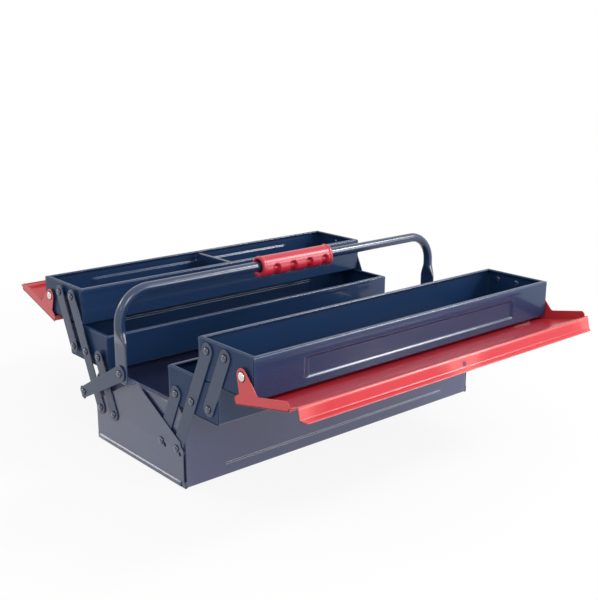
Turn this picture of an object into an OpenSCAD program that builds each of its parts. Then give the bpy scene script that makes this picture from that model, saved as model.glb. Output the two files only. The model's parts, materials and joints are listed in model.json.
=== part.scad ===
// Cantilever tool box: a base and four trays on parallel arms, with two lids and a lifting handle.
// Origin at the centre of the base's underside. X runs along the box, the front side is -Y.
// Shown open, with both lids laid back.

/* [Base] */
// Length over the sheet ends of the base and of every tray
box_l = 491.2; // [480:0.2:500]
// Width of the base across its long walls
base_w = 200; // [196:1:208]
// Height of the base's long walls and ends
base_h = 98; // [94:0.5:100]
// Width of the inward flange along the base's top edge
base_flange = 8; // [6:0.5:10]
// Height of the bead along each long wall of the base
base_bead_z = 15; // [12:0.5:20]
// Height of the foot rail under each end cover
foot_h = 9; // [7:0.5:12]

/* [Trays] */
// Width of the middle trays over their rims
mid_w = 98; // [94:0.5:99]
// Height of the middle trays
mid_h = 45.4; // [42:0.2:45.6]
// Width of the top trays over their rims
top_w = 98.7; // [94:0.5:99]
// Height of the top trays
top_h = 48.3; // [44:0.1:50]
// Distance of a top tray's centre line outward from its inner arm pivot
top_offset = 30.8; // [30:0.2:31.6]
// Bend radius along the bottom edges of the trays
tray_r = 3; // [2.5:0.5:4]
// Width of the rim that is folded into a tray
rim_w = 4; // [3:0.5:6]
// Depth to which the long panel is pressed into a tray's outer wall
press_d = 0.6; // [0.4:0.1:0.8]

/* [Sheet and arms] */
// Thickness of all body sheet
sheet = 1; // [0.8:0.1:1.2]
// Thickness of the arms
arm_t = 1.5; // [1.2:0.1:1.6]
// Width of the arms
arm_w = 18; // [15:0.5:20]
// Distance between pivots along an arm
pitch = 74; // [72:0.5:75]
// Lean of the arms away from upright when the box is fully open, in degrees
lean = 25.5; // [24.5:0.5:26]
// Distance between the two arms of a pair
pair = 32; // [30:0.5:34]
// Distance of the outer base pivots inward from the base's long walls
pivot_in = 14.4; // [13.6:0.2:15]
// Depth of the base pivots below the base's top edge
pivot_drop = 51.5; // [51:0.5:53]

/* [Lids] */
// Distance of the lid pivot outward from the top tray's inner arm pivot
lid_u = 63.5; // [62:0.5:64]
// Distance of the lid pivot below the top tray's arm pivots
lid_drop = 11.6; // [11:0.2:12]
// Distance from the lid pivot to the inside of the lid panel
lid_rise = 29.8; // [28.8:0.1:30.2]
// Depth of the step along the lid's long front edge
lid_step = 3.6; // [3:0.1:4.4]
// Width of the stepped strip
lid_strip = 8; // [7:0.5:12]
// Depth of the lid's end flanges
lid_flange = 11; // [9:0.5:12]
// Height of the front lid's upstanding lip
front_lip_h = 13.3; // [13:0.1:16]
// Height of the rear lid's upstanding lip
rear_lip_h = 12.2; // [11:0.1:13]
// Width of the cap folded over from the front lid's lip
lip_cap = 6; // [5:0.5:6.5]
// Upward tilt of the cap on the closed front lid, in degrees
cap_tilt = 30; // [15:1:34]
// Distance by which the closed front lid's lip stays short of the middle, under its own cap
front_lid_short = 5.4; // [4.6:0.2:6]
// Distance by which the closed rear lid's lip reaches past the middle
rear_lid_past = 1.2; // [0.4:0.2:1.6]
// Upward slope of the open front lid, in degrees
front_lid_slope = 11.4; // [10:0.2:18]
// Upward slope of the open rear lid, in degrees
rear_lid_slope = 16.3; // [10:0.2:18]
// Diameter of the padlock holes in the lips
padlock_d = 6; // [5:0.5:7]

/* [Handle] */
// Diameter of the handle tube
tube_d = 13; // [12:0.5:14]
// Height of the tube's centre line above the base's top edge
tube_rise = 119.8; // [118:0.2:124]
// Bend radius of the tube's corners, on its centre line
bend_r = 39; // [34:1:44]
// Distance of the flattened legs' middle outward from the end sheets
leg_out = 20.5; // [19.9:0.1:22.4]
// Thickness of the flattened legs
leg_t = 2.6; // [2.4:0.1:3]
// Width of the flattened legs
leg_w = 25; // [22:0.5:26]
// Height of the legs' lower ends above the base's top edge
leg_rise = 8.5; // [8:0.5:10]
// Height above the base's top edge at which the legs are fully flat
leg_flat_rise = 56; // [47:1:60]
// Height of the pivot between a leg and its link above the base's top edge
hang_rise = 21; // [20:0.5:23]
// Outward distance of a link's lower pivot from the outer base pivot
crank_u = 6.5; // [5:0.5:8]
// Height of a link's lower pivot above the outer base pivot
crank_z = 24; // [22:0.5:26]
// Width of the links
link_w = 20; // [18:0.5:22]
// Thickness of the links
link_t = 2; // [1.6:0.1:2.4]
// Length of the grip
grip_l = 114; // [105:1:125]
// Diameter of the grip's smooth upper part
grip_d = 25; // [23:0.5:26]

/* [Rivets] */
// Diameter of every rivet shank
shank_d = 4.9; // [4:0.1:5]
// Radial play of a rivet in an arm
play_r = 0.05; // [0.02:0.01:0.1]
// Diameter of a rivet head
head_d = 7.6; // [7:0.2:9]
// Height of a rivet head
head_h = 1.7; // [1.4:0.1:1.8]
// Diameter of the large rivets of the lids
lid_head_d = 9.6; // [9:0.2:11]

/* [Clearances] */
// Gap between neighbouring flat layers
gap = 0.3; // [0.25:0.05:0.4]
// Gap under a rivet head that a moving arm turns against
head_gap = 0.1; // [0.05:0.05:0.15]

/* [Hidden] */
$fn = 64;
front = -1;
rear = 1;
left = -1;
right = 1;
eps = 0.01;

// Flat layers outward from the middle of the box, as distances along X
x_end = box_l / 2;
x_inner = x_end + gap;
x_cover = x_inner + arm_t + gap;
x_outer = x_cover + sheet + gap;
leg_x = x_end + leg_out;
x_link = leg_x + leg_t / 2 + gap;

// Heights along the handle
leg_z = base_h + leg_rise;
leg_flat_z = base_h + leg_flat_rise;
hang_z = base_h + hang_rise;
tube_z = base_h + tube_rise;

// Pivots of one side as [distance from the middle plane, height]
step = [pitch * sin(lean), pitch * cos(lean)];
base_long = [base_w / 2 - pivot_in, base_h - pivot_drop];
base_short = base_long - [pair, 0];
mid_long = base_long + step;
mid_short = base_short + step;
mid_high = mid_long + [pair, 0];
top_long = mid_long + step;
top_high = mid_high + step;
lid_pivot = top_long + [lid_u, -lid_drop];
crank = base_long + [crank_u, crank_z];
hang = [0, hang_z];

// Trays as [centre distance from the middle plane, height of the underside]
mid_at = [mid_long[0], base_h + gap];
top_at = [top_long[0] + top_offset, base_h + gap + mid_h + gap];
rim_out = 0.8;
rim_h = 5;
rim_t = 1.4;

// Radii of the spacer collars on the rivets, and the height of the heads inside the sheets
spacer_r = 4.5;
lid_spacer_r = 5;
tail_h = 1.2;

// Colours
navy = [0.20, 0.24, 0.36];
red = [0.78, 0.12, 0.13];
nickel = [0.80, 0.78, 0.74];

// ---- Placing ----

// Puts a shape made for the rear right quarter on the given side and end
module at(side, end) {
  mirror([end < 0 ? 1 : 0, 0, 0]) mirror([0, side < 0 ? 1 : 0, 0]) children();
}

// Stands a flat shape up on an end face: its x becomes Y, its y becomes Z, its thickness grows along X
module on_end(x) {
  translate([x, 0, 0]) rotate([90, 0, 90]) children();
}

// The arms of one side run outside the cover at one end and behind it at the other
function is_outside(side, end) = side * end < 0;
function arm_x(side, end) = is_outside(side, end) ? x_outer : x_inner;

// ---- Shared shapes ----

// A round bar along X from x0 to x1 at the pivot p
module rod(p, r, x0, x1) {
  translate([x0, p[0], p[1]]) rotate([0, 90, 0]) cylinder(r = r, h = x1 - x0);
}

// A turned piece whose axis runs along X through the pivot p, from a list of [radius, x]
module turned(p, profile) {
  translate([0, p[0], p[1]]) rotate([0, 90, 0]) rotate_extrude() polygon(profile);
}

// Profile of a domed head whose flat side is at x
function dome(d, x) = [
  [0.5 * d, x], [0.5 * d, x + 0.3 * head_h], [0.36 * d, x + 0.72 * head_h],
  [0.2 * d, x + 0.94 * head_h], [0, x + head_h]
];

// Profile of a collar of radius r between two faces on a shank
function collar(r, x0, x1) = [[shank_d / 2, x0], [r, x0], [r, x1], [shank_d / 2, x1]];

// A rivet from inside an end sheet out to a head of diameter d at x_head, with a collar on the way
module rivet(p, x_head, d, collar_points) {
  x_in = x_end - sheet;
  turned(p, concat(
    [[0, x_in - tail_h], [head_d / 2, x_in - tail_h], [head_d / 2, x_in], [shank_d / 2, x_in]],
    collar_points, [[shank_d / 2, x_head]], dome(d, x_head)
  ));
}

// A straight arm with round ends and a running bore at each distance listed
module arm(p, length, bores, x) {
  color(navy) translate([x, p[0], p[1]]) rotate([-lean, 0, 0]) difference() {
    union() {
      translate([0, -arm_w / 2, 0]) cube([arm_t, arm_w, length]);
      rod([0, 0], arm_w / 2, 0, arm_t);
      rod([0, length], arm_w / 2, 0, arm_t);
    }
    for (d = bores) rod([0, d], shank_d / 2 + play_r, -1, arm_t + 1);
  }
}

// A flat bar with round ends, along Y
module stadium(length, d, t) {
  for (s = [-1, 1]) translate([s * (length - d) / 2, 0, 0]) cylinder(d = d, h = t);
  translate([-(length - d) / 2, -d / 2, 0]) cube([length - d, d, t]);
}

// The same bar laid against a wall that faces +Y, from y0 to y0 + t
module on_wall(y0, z) {
  translate([0, y0, z]) rotate([-90, 0, 0]) children();
}

// Outline of a tray's section: a box with rounded bottom edges
module tray_outline(w, h, r) {
  translate([-w / 2, r]) square([w, h - r]);
  translate([-w / 2 + r, 0]) square([w - 2 * r, r + eps]);
  for (s = [-1, 1]) translate([s * (w / 2 - r), r]) circle(r = r);
}

// ---- Base ----

// Notch cut out of each upper corner of the long walls, and the smaller clip off the end sheets
corner_cut_x = 13;
corner_cut_z = 12;
end_clip_y = 12;
end_clip_z = 14;
// How far the flange's edge is turned down, and the bead's distance from the ends, width and roundness
flange_drop = 5;
bead_inset = 55.6;
bead_w = 3.6;
bead_r = 2;
bead_out = 1.1;

// Bottom and long walls, with flanges along the top and a bead along each wall
module base_trough() {
  x0 = x_end - sheet;
  color(navy) difference() {
    union() {
      translate([-x0, -base_w / 2, 0]) cube([2 * x0, base_w, sheet]);
      for (s = [-1, 1]) mirror([0, s < 0 ? 1 : 0, 0]) {
        translate([-x0, base_w / 2 - sheet, 0]) cube([2 * x0, sheet, base_h]);
        translate([-x0, base_w / 2 - base_flange, base_h - sheet])
          cube([2 * x0, base_flange, sheet]);
        translate([-x0, base_w / 2 - base_flange, base_h - flange_drop])
          cube([2 * x0, sheet, flange_drop]);
        intersection() {
          on_wall(base_w / 2 - eps, base_bead_z) stadium(2 * (x_end - bead_inset), bead_w, bead_out + eps);
          rod([base_w / 2 + bead_out - bead_r, base_bead_z], bead_r, -x_end, x_end);
        }
      }
    }
    for (e = [-1, 1]) for (s = [-1, 1])
      translate([e * x_end - corner_cut_x, s * base_w / 2 - base_flange - sheet, base_h - corner_cut_z])
        cube([2 * corner_cut_x, 2 * (base_flange + sheet), corner_cut_z + 1]);
  }
}

// End sheet of the base with clipped corners, a flange inward and bores for the pivots
module base_end(end) {
  flat_y = base_w / 2 - end_clip_y;
  color(navy) at(rear, end) difference() {
    union() {
      on_end(x_end - sheet) linear_extrude(sheet) polygon([
        [-base_w / 2, 0], [base_w / 2, 0], [base_w / 2, base_h - end_clip_z], [flat_y, base_h],
        [-flat_y, base_h], [-base_w / 2, base_h - end_clip_z]
      ]);
      translate([x_end - base_flange, -flat_y, base_h - sheet]) cube([base_flange, 2 * flat_y, sheet]);
    }
    for (s = [-1, 1]) for (p = [base_long, base_short])
      rod([s * p[0], p[1]], shank_d / 2, x_end - 2 * sheet, x_end + sheet);
  }
}

// Gabled cover over the end, with a foot rail below and a rest tab for the handle at its peak
cover_inset = 6;
cover_side_drop = 42;
// Below the arms the cover widens towards the base's corners
cover_low_inset = 1.5;
cover_neck_drop = 51;
cover_low_drop = 57;
gable_y = 14;
tab_y = 6;
tab_t = 1.2;
// The tab's top stays below the handle's leg, and its tip behind the leg's inner side
tab_z = leg_z - 1.3;
tab_x = leg_x - leg_t / 2 - 1;
// The foot rail's upper part stands back from the cover's face, and its front strip stands out
rail_back = 0.6;
rail_out = 0.3;
rail_inset = 8;
rail_lift = 1.2;
module cover(end) {
  half = base_w / 2 - cover_inset;
  low_half = base_w / 2 - cover_low_inset;
  low_z = base_h - cover_low_drop;
  neck_z = base_h - cover_neck_drop;
  side_z = base_h - cover_side_drop;
  face = x_cover + sheet;
  color(navy) at(rear, end) {
    difference() {
      on_end(x_cover) linear_extrude(sheet) polygon([
        [-low_half, foot_h - sheet], [low_half, foot_h - sheet], [low_half, low_z], [half, neck_z],
        [half, side_z], [gable_y, base_h], [tab_y, tab_z], [-tab_y, tab_z], [-gable_y, base_h],
        [-half, side_z], [-half, neck_z], [-low_half, low_z]
      ]);
      for (s = [-1, 1]) for (p = [base_long, base_short])
        rod([s * p[0], p[1]], shank_d / 2, x_cover - 1, face + 1);
    }
    // foot rail from the base's end sheet out past the cover
    translate([x_end, -base_w / 2, 0]) cube([face - rail_back - x_end, base_w, foot_h]);
    translate([x_end, -base_w / 2 + rail_inset, rail_lift])
      cube([face + rail_out - x_end, base_w - 2 * rail_inset, foot_h - rail_lift]);
    // rest tab under the handle's leg
    translate([x_cover, -tab_y, tab_z - tab_t]) cube([tab_x - x_cover, 2 * tab_y, tab_t]);
  }
}

// All four pivot rivets at one end of the base
module base_rivets(end) {
  for (side = [front, rear]) {
    outside = is_outside(side, end);
    x_head = outside ? x_outer + arm_t + head_gap : x_cover + sheet;
    for (p = [base_long, base_short]) color(navy) at(side, end)
      rivet(p, x_head, head_d, outside ? collar(spacer_r, x_end, x_cover) : []);
  }
}

// ---- Trays ----

// The pressed panel: its distance from the tray's ends, its height and how far it lies below mid height
panel_inset = 68.6;
panel_d = 21;
panel_drop = 1.9;

// Trough of a tray, open at both ends, with folded rims and a panel pressed into its outer wall
module tray_shell(side, centre, w, h) {
  x0 = x_end - sheet;
  body_w = w - 2 * rim_out;
  panel_l = box_l - 2 * panel_inset;
  panel_z = h / 2 - panel_drop;
  color(navy) at(side, right) translate([0, centre[0], centre[1]]) {
    difference() {
      union() {
        translate([-x0, 0, 0]) rotate([90, 0, 90]) linear_extrude(2 * x0) difference() {
          tray_outline(body_w, h, tray_r);
          translate([0, sheet]) tray_outline(body_w - 2 * sheet, h, tray_r - sheet);
        }
        on_wall(body_w / 2 - sheet - press_d, panel_z) stadium(panel_l, panel_d, press_d + eps);
      }
      on_wall(body_w / 2 - press_d, panel_z) stadium(panel_l - 2, panel_d - 2, press_d + 1);
    }
    for (s = [-1, 1]) mirror([0, s < 0 ? 1 : 0, 0]) {
      translate([-x0, w / 2 - rim_out - rim_w, h - rim_t]) cube([2 * x0, rim_w + rim_out, rim_t]);
      translate([-x0, w / 2 - rim_out - eps, h - rim_h]) cube([2 * x0, rim_out + eps, rim_h]);
    }
  }
}

// End sheet of a tray with a folded rim and bores for its rivets
module tray_end(side, end, centre, w, h, pivots) {
  body_w = w - 2 * rim_out;
  color(navy) at(side, end) difference() {
    union() {
      on_end(x_end - sheet) translate(centre) linear_extrude(sheet) tray_outline(body_w, h, tray_r);
      translate([x_end - sheet - rim_w, centre[0] - w / 2 + rim_w + rim_out, centre[1] + h - rim_t])
        cube([rim_w + sheet, w - 2 * rim_w - 2 * rim_out, rim_t]);
    }
    for (p = pivots) rod(p, shank_d / 2, x_end - 2 * sheet, x_end + sheet);
  }
}

// Rivets of a tray at one end, long enough to reach the layer of the arms there
module tray_rivets(side, end, pivots) {
  x = arm_x(side, end);
  for (p = pivots) color(navy) at(side, end) rivet(
    p, x + arm_t + head_gap, head_d, is_outside(side, end) ? collar(spacer_r, x_end, x - head_gap) : []
  );
}

module mid_shell(side) { tray_shell(side, mid_at, mid_w, mid_h); }
module mid_end(side, end) { tray_end(side, end, mid_at, mid_w, mid_h, [mid_long, mid_short, mid_high]); }
module mid_rivets(side, end) { tray_rivets(side, end, [mid_long, mid_short, mid_high]); }
module top_shell(side) { tray_shell(side, top_at, top_w, top_h); }
module top_end(side, end) { tray_end(side, end, top_at, top_w, top_h, [top_long, top_high, lid_pivot]); }
module top_rivets(side, end) { tray_rivets(side, end, [top_long, top_high]); }

// Upright divider across the middle of the rear top tray, with a folded top edge
divider_fit = 0.2;
divider_fold = 4;
divider_top = 2.3;
module divider() {
  half = top_w / 2 - rim_out - sheet - divider_fit - press_d;
  fold_z = top_h - divider_top - sheet;
  color(navy) translate([-sheet / 2, top_at[0], top_at[1] + sheet]) {
    translate([0, -half, tray_r]) cube([sheet, 2 * half, fold_z - sheet - tray_r]);
    translate([0, tray_r - half, 0]) cube([sheet, 2 * (half - tray_r), tray_r + eps]);
    translate([(sheet - divider_fold) / 2, rim_w - half, fold_z - sheet])
      cube([divider_fold, 2 * (half - rim_w), sheet]);
  }
}

// ---- Arms ----

module long_arm(side, end) {
  at(side, end) arm(base_long, 2 * pitch, [0, pitch, 2 * pitch], arm_x(side, end));
}
module low_arm(side, end) {
  at(side, end) arm(base_short, pitch, [0, pitch], arm_x(side, end));
}
module high_arm(side, end) {
  at(side, end) arm(mid_high, pitch, [0, pitch], arm_x(side, end));
}

// ---- Lids ----

// Roundness of the ears, the neck below the panel, the hem and how far a lid reaches past the tray's rim
ear_r = 9;
ear_neck_y = 16;
ear_neck_drop = 8.8;
ear_slope_y = 22;
ear_turn = 34;
ear_step = 0.3;
hem_h = 3;
lid_over = 1.35;
lip_inset = 5;
// Length of the slope at a flange's front end, the web above the padlock hole and the cap's place on the lip
flange_slope = 3;
padlock_web = 1;
cap_seat = 0.7 * sheet;

// A lid in its own frame: pivot at the origin, outward side at +Y, as it lies when closed.
// Its lip stays short of the middle of the box by the distance given.
module closed_lid(short, lip_h, cap_w) {
  x1 = x_cover + sheet;
  top = lid_rise + sheet;
  back = top_at[0] + top_w / 2 - lid_pivot[0] + lid_over;
  edge = lid_pivot[0] - 4 * step[0] - short;
  neck_z = lid_rise - ear_neck_drop;
  strip_top = top - lid_step;
  hole_z = strip_top + rear_lip_h - padlock_web - padlock_d / 2;
  lip_x = x1 - lip_inset;
  ear_in = ear_r - ear_step;
  flange_z = top - lid_flange;
  color(red) difference() {
    union() {
      // panel, the step down, the strip and the lip
      translate([-x1, lid_strip - edge, lid_rise]) cube([2 * x1, back + edge - lid_strip, sheet]);
      translate([-x1, lid_strip - edge, strip_top - sheet]) cube([2 * x1, sheet, lid_step + sheet]);
      translate([-x1, -edge, strip_top - sheet]) cube([2 * x1, lid_strip, sheet]);
      translate([-lip_x, -edge, strip_top - sheet]) cube([2 * lip_x, sheet, lip_h + sheet]);
      // cap over the lip, with mitred ends
      if (cap_w > 0) translate([0, cap_seat - edge, strip_top + lip_h]) rotate([-cap_tilt, 0, 0])
        translate([0, 0, -sheet]) linear_extrude(sheet) polygon([
          [-lip_x, 0], [lip_x, 0], [lip_x - cap_w, -cap_w - sheet], [cap_w - lip_x, -cap_w - sheet]
        ]);
      // hem along the back edge
      translate([-x1, back - sheet, lid_rise - hem_h]) cube([2 * x1, sheet, hem_h + eps]);
      // end flanges with the ears that hang on the rivets
      for (e = [-1, 1]) mirror([e < 0 ? 1 : 0, 0, 0]) on_end(x_cover) linear_extrude(sheet) {
        circle(r = ear_r);
        polygon([
          [ear_in, 0], [ear_in, neck_z - 2], [ear_neck_y, neck_z], [back, lid_rise], [back, top],
          [lid_strip - edge, top], [lid_strip - edge, strip_top - sheet / 2],
          [lid_strip - edge + flange_slope, flange_z], [-ear_slope_y, flange_z],
          [-ear_in * cos(ear_turn), -ear_in * sin(ear_turn)], [0, 0]
        ]);
      }
    }
    rod([0, 0], shank_d / 2 + play_r, -x1 - 1, x1 + 1);
    translate([0, -edge - 1, hole_z]) rotate([-90, 0, 0]) cylinder(d = padlock_d, h = sheet + 2);
  }
}

module lid(side, slope, short, lip_h, cap_w) {
  at(side, right) translate([0, lid_pivot[0], lid_pivot[1]])
    rotate([-(180 - slope), 0, 0]) closed_lid(short, lip_h, cap_w);
}

// Bright rivets that a lid turns on, with the spacers that hold its ears clear of the inner arms
module lid_rivets(side) {
  for (end = [left, right]) color(nickel) at(side, end) rivet(
    lid_pivot, x_cover + sheet + head_gap, lid_head_d, collar(lid_spacer_r, x_end, x_cover - head_gap)
  );
}

// ---- Handle and links ----

// Straight part of the tube
module handle_bar() {
  half = leg_x - bend_r;
  color(navy) rod([0, tube_z], tube_d / 2, -half, half);
}

// One corner bend, the tube below it and the flattened leg
leg_taper = 18;
module handle_side(end) {
  round_z = leg_flat_z + leg_taper;
  color(navy) at(rear, end) {
    translate([leg_x - bend_r, 0, tube_z - bend_r]) rotate([90, 0, 0])
      rotate_extrude(angle = 90) translate([bend_r, 0]) circle(d = tube_d);
    translate([leg_x, 0, round_z]) cylinder(d = tube_d, h = tube_z - bend_r - round_z);
    hull() {
      translate([leg_x, 0, round_z]) cylinder(d = tube_d, h = eps, $fn = 32);
      translate([leg_x - leg_t / 2, -leg_w / 2, leg_flat_z - eps]) cube([leg_t, leg_w, eps]);
    }
    difference() {
      translate([leg_x - leg_t / 2, -leg_w / 2, leg_z]) cube([leg_t, leg_w, leg_flat_z - leg_z]);
      rod(hang, shank_d / 2, leg_x - leg_t, leg_x + leg_t);
    }
  }
}

// Grip with a smooth back, a collar at each end and rounded finger lobes below
grip_x = 0.5;
lobe_pitch = 28.3;
lobe_r = 12.2;
lobe_drop = 3;
// Distance of the first and the last lobe from the grip's ends, the last one at least
lobe_first = 32.5;
lobe_last = 18;
collar_out = 1.2;
collar_l = 3;
socket_out = 2.5;
socket_l = 6;
module handle_grip() {
  half = grip_l / 2;
  color(red) translate([grip_x, 0, tube_z]) difference() {
    union() {
      rod([0, 0], grip_d / 2, -half, half);
      for (s = [-1, 1]) rod([0, 0], grip_d / 2 + collar_out, s * half - collar_l, s * half + collar_l);
      for (x = [lobe_first - half : lobe_pitch : half - lobe_last]) translate([x, 0, -lobe_drop])
        sphere(r = lobe_r);
    }
    rod([0, 0], tube_d / 2, -grip_l, grip_l);
    for (s = [-1, 1]) rod([0, 0], tube_d / 2 + socket_out, s * half - socket_l, s * half + socket_l);
  }
}

// Shanks and inner heads that carry the legs
module handle_rivets() {
  x0 = leg_x - leg_t / 2;
  for (end = [left, right]) color(navy) at(rear, end) turned(hang, [
    [0, x0 - tail_h], [head_d / 2, x0 - tail_h], [head_d / 2, x0], [shank_d / 2, x0],
    [shank_d / 2, x0 + leg_t], [0, x0 + leg_t]
  ]);
}

// A flat link from the crank point on the long arm up to the handle's leg, with a clipped lower end
toe_z = 8;
toe_y = 5;
function link_side(end) = is_outside(rear, end) ? rear : front;
module link(end) {
  side = link_side(end);
  run = hang - crank;
  length = norm(run);
  color(navy) at(side, end) translate([x_link, crank[0], crank[1]])
    rotate([atan2(run[1], run[0]) - 90, 0, 0]) difference() {
      union() {
        translate([0, -link_w / 2, 0]) cube([link_t, link_w, length]);
        rod([0, length], link_w / 2, 0, link_t);
        rotate([90, 0, 90]) linear_extrude(link_t) polygon([
          [-link_w / 2, 1], [link_w / 2, 1], [link_w / 2, -2], [toe_y, -toe_z], [-toe_y, -toe_z],
          [-link_w / 2, -2]
        ]);
      }
      rod([0, 0], shank_d / 2 + play_r, -1, link_t + 1);
    }
}

// Dome on the outside of a link where it meets the handle
module link_cap(end) {
  x0 = x_link + link_t;
  color(navy) at(link_side(end), end) turned(hang, concat([[0, x0]], dome(head_d, x0)));
}

// Stud that stands off the long arm and carries the link's lower end
module link_stud(side) {
  end = is_outside(side, left) ? left : right;
  x0 = x_outer + arm_t;
  x1 = x_link + link_t + head_gap;
  color(navy) at(side, end) turned(crank, concat(
    [[0, x0], [spacer_r, x0], [spacer_r, x_link - head_gap]],
    [[shank_d / 2, x_link - head_gap], [shank_d / 2, x1]],
    dome(head_d, x1)
  ));
}

// ---- Nodes ----

base_trough();
base_end(left);  // base_end_left
base_end(right);  // base_end_right
cover(left);  // cover_left
cover(right);  // cover_right
base_rivets(left);  // base_rivets_left
base_rivets(right);  // base_rivets_right
mid_shell(front);  // front_mid_shell
mid_end(front, left);  // front_mid_end_left
mid_end(front, right);  // front_mid_end_right
mid_rivets(front, left);  // front_mid_rivets_left
mid_rivets(front, right);  // front_mid_rivets_right
top_shell(front);  // front_top_shell
top_end(front, left);  // front_top_end_left
top_end(front, right);  // front_top_end_right
top_rivets(front, left);  // front_top_rivets_left
top_rivets(front, right);  // front_top_rivets_right
lid(front, front_lid_slope, front_lid_short, front_lip_h, lip_cap);  // front_lid
lid_rivets(front);  // front_lid_rivets
long_arm(front, left);  // front_long_arm_left
long_arm(front, right);  // front_long_arm_right
low_arm(front, left);  // front_low_arm_left
low_arm(front, right);  // front_low_arm_right
high_arm(front, left);  // front_high_arm_left
high_arm(front, right);  // front_high_arm_right
mid_shell(rear);  // rear_mid_shell
mid_end(rear, left);  // rear_mid_end_left
mid_end(rear, right);  // rear_mid_end_right
mid_rivets(rear, left);  // rear_mid_rivets_left
mid_rivets(rear, right);  // rear_mid_rivets_right
top_shell(rear);  // rear_top_shell
top_end(rear, left);  // rear_top_end_left
top_end(rear, right);  // rear_top_end_right
top_rivets(rear, left);  // rear_top_rivets_left
top_rivets(rear, right);  // rear_top_rivets_right
lid(rear, rear_lid_slope, -rear_lid_past, rear_lip_h, 0);  // rear_lid
lid_rivets(rear);  // rear_lid_rivets
divider();  // rear_divider
long_arm(rear, left);  // rear_long_arm_left
long_arm(rear, right);  // rear_long_arm_right
low_arm(rear, left);  // rear_low_arm_left
low_arm(rear, right);  // rear_low_arm_right
high_arm(rear, left);  // rear_high_arm_left
high_arm(rear, right);  // rear_high_arm_right
handle_bar();
handle_side(left);  // handle_side_left
handle_side(right);  // handle_side_right
handle_grip();
handle_rivets();
link(left);  // link_left
link(right);  // link_right
link_cap(left);  // link_cap_left
link_cap(right);  // link_cap_right
link_stud(rear);  // rear_link_stud
link_stud(front);  // front_link_stud
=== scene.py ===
import json
import math

import bmesh
import bpy
import numpy as np
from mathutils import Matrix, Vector
from mathutils.geometry import tessellate_polygon


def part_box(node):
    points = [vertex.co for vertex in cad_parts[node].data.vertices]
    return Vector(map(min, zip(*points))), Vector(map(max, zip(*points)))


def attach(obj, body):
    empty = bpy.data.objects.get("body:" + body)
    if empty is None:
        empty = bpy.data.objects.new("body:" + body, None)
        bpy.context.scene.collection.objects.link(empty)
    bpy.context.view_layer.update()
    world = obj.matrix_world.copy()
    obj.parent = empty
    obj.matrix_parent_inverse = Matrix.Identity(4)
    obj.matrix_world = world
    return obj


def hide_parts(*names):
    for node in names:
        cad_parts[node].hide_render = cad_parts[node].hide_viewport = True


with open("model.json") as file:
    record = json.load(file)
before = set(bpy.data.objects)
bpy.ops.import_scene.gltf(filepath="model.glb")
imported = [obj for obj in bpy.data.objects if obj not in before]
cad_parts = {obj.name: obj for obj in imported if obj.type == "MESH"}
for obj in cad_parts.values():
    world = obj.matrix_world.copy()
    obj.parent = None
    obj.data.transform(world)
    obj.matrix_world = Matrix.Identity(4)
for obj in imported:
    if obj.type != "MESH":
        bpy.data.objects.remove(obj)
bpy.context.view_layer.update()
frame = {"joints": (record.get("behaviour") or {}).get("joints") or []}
mm = 0.001
sides = {"front": -1, "rear": 1}
ends = {"left": -1, "right": 1}
# At each end one side's arms run outside the cover and carry the link, and the cover lies over the other's.
linkSides = {"left": "rear", "right": "front"}
coveredSides = {"left": "front", "right": "rear"}


def inMetres(value):  # lengths in mm, singly or in a tuple or dictionary
    if isinstance(value, dict):
        return {name: inMetres(v) for name, v in value.items()}
    if isinstance(value, tuple):
        return tuple(inMetres(v) for v in value)
    return value * mm


def lengths(**values):  # a dictionary of them, named and given in mm
    return inMetres(values)


def pivot(joint):  # (outward distance, height) of a hinge, the same on both sides
    y, z = next(j["pos_m"] for j in frame["joints"] if j["name"] == joint)[1:]
    return np.array([abs(y), z])


def nodeBox(node):  # corners of a node with X and Y turned outward: (x, u, z) low and high
    lo, hi = (np.array(c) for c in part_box(node))
    flip = [(-hi[k], -lo[k]) if lo[k] + hi[k] < -1e-6 else (lo[k], hi[k]) for k in (0, 1)]
    return (np.array([flip[0][0], flip[1][0], lo[2]]), np.array([flip[0][1], flip[1][1], hi[2]]))


def unit(v):
    return v / np.linalg.norm(v)


nearlyStraight = 1.56  # half a corner's angle in radians, beyond which it stays as it is


# A polyline whose inner corners become arcs: each corner of turn a and radius r
# starts r*tan(a/2) before the corner and ends as far behind it.
def bentPath(corners, radii, arcSteps=6):
    pts = np.asarray(corners, float)
    out = [pts[:1]]
    for i in range(1, len(pts) - 1):
        a, b = unit(pts[i - 1] - pts[i]), unit(pts[i + 1] - pts[i])
        half = math.acos(np.clip(a @ b, -1, 1)) / 2
        r = radii[i - 1]
        if r <= 0 or half > nearlyStraight:
            out.append(pts[i:i + 1])
            continue
        centre = pts[i] + unit(a + b) * r / math.sin(half)
        p0 = pts[i] + a * r / math.tan(half) - centre
        p1 = pts[i] + b * r / math.tan(half) - centre
        t = np.linspace(0, 1, arcSteps + 1)[:, None]
        turn = math.pi - 2 * half
        out.append(centre + (np.sin((1 - t) * turn) * p0 + np.sin(t * turn) * p1) / math.sin(turn))
    out.append(pts[-1:])
    return np.concatenate(out)


def roundedLoop(corners, radii, arcSteps=6):  # the same for a closed outline
    pts = np.asarray(corners, float)
    start = (pts[0] + pts[-1]) / 2
    return bentPath(np.concatenate([[start], pts, [start]]), radii, arcSteps)[:-1]


# Long straight runs are divided evenly so that no piece is longer than stepAt(middle).
def refined(path, stepAt):
    out = []
    for a, b in zip(path[:-1], path[1:]):
        n = max(1, int(math.ceil(np.linalg.norm(b - a) / stepAt((a + b) / 2))))
        out.append(a + (b - a) * (np.arange(n) / n)[:, None])
    out.append(path[-1:])
    return np.concatenate(out)


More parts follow.
